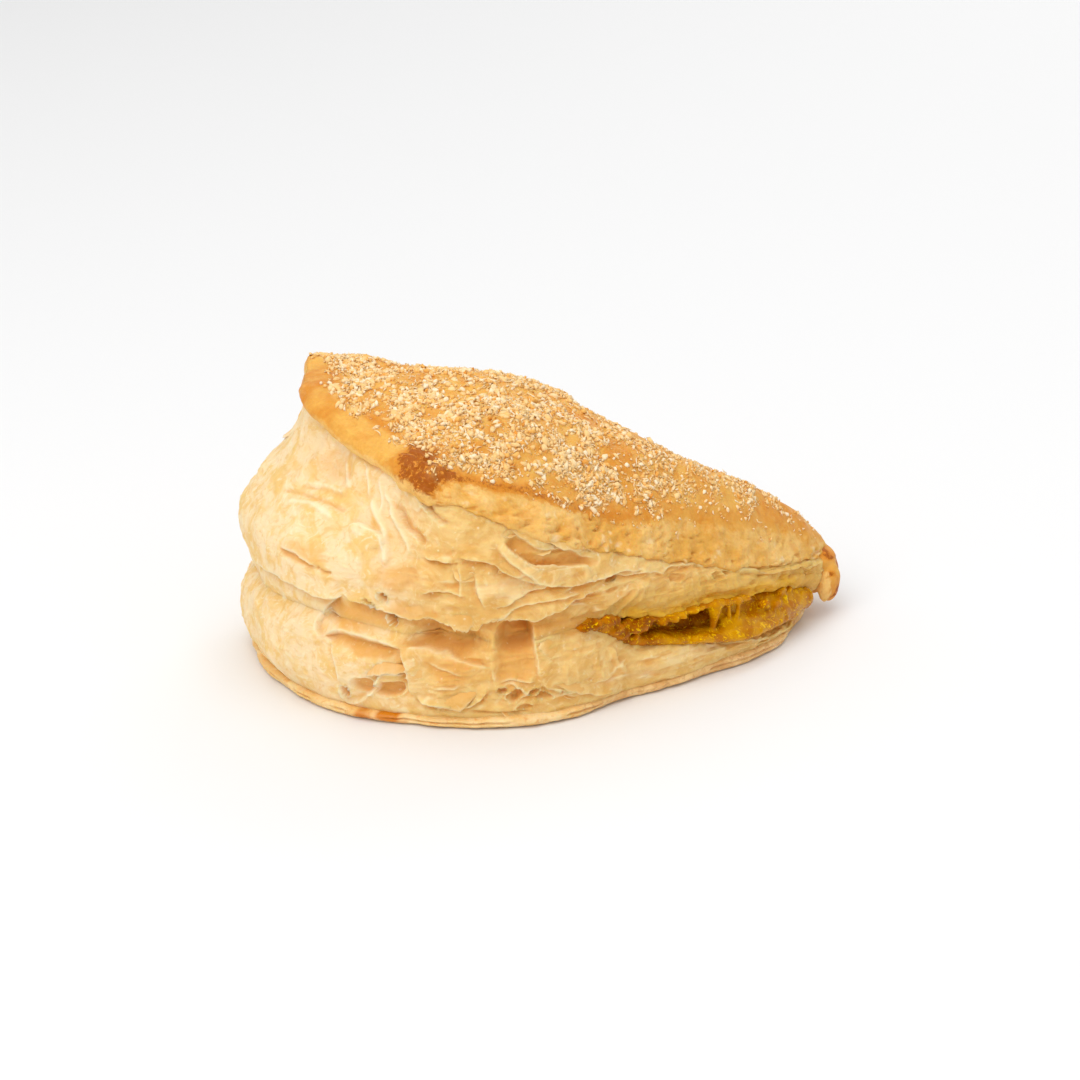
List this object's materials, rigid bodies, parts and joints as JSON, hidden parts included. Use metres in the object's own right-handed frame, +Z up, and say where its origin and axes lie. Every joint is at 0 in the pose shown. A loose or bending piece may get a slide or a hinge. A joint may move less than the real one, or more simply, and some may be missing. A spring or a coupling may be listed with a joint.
{
  "type": "apricot coconut puff pastry turnover",
  "caption": "Triangular puff pastry turnover, high at one end, with an open side of apricot jelly and a domed golden top under toasted coconut.",
  "frame": {"origin": "middle of the flat base, below the middle of the overall box", "axes": "+Z up, +X from the high left end to the thin right tip, +Y towards the fold at the back; the cut side with the open mouth faces -Y and +X"},
  "size_m": [0.1374, 0.0837, 0.0665],
  "materials": {
    "baked_crust": "egg-washed golden brown crust, satin, darker where it caught",
    "pale_layers": "pale cream puffed dough layers, soft satin and slightly translucent",
    "toasted_coconut": "dry toasted coconut flakes, matte cream to light brown",
    "apricot_jelly": "wet glossy translucent amber-yellow apricot jelly"
  },
  "bodies": {
    "root": {"pastry": "baked_crust", "apricot_filling": "apricot_jelly"}
  },
  "joints": []
}
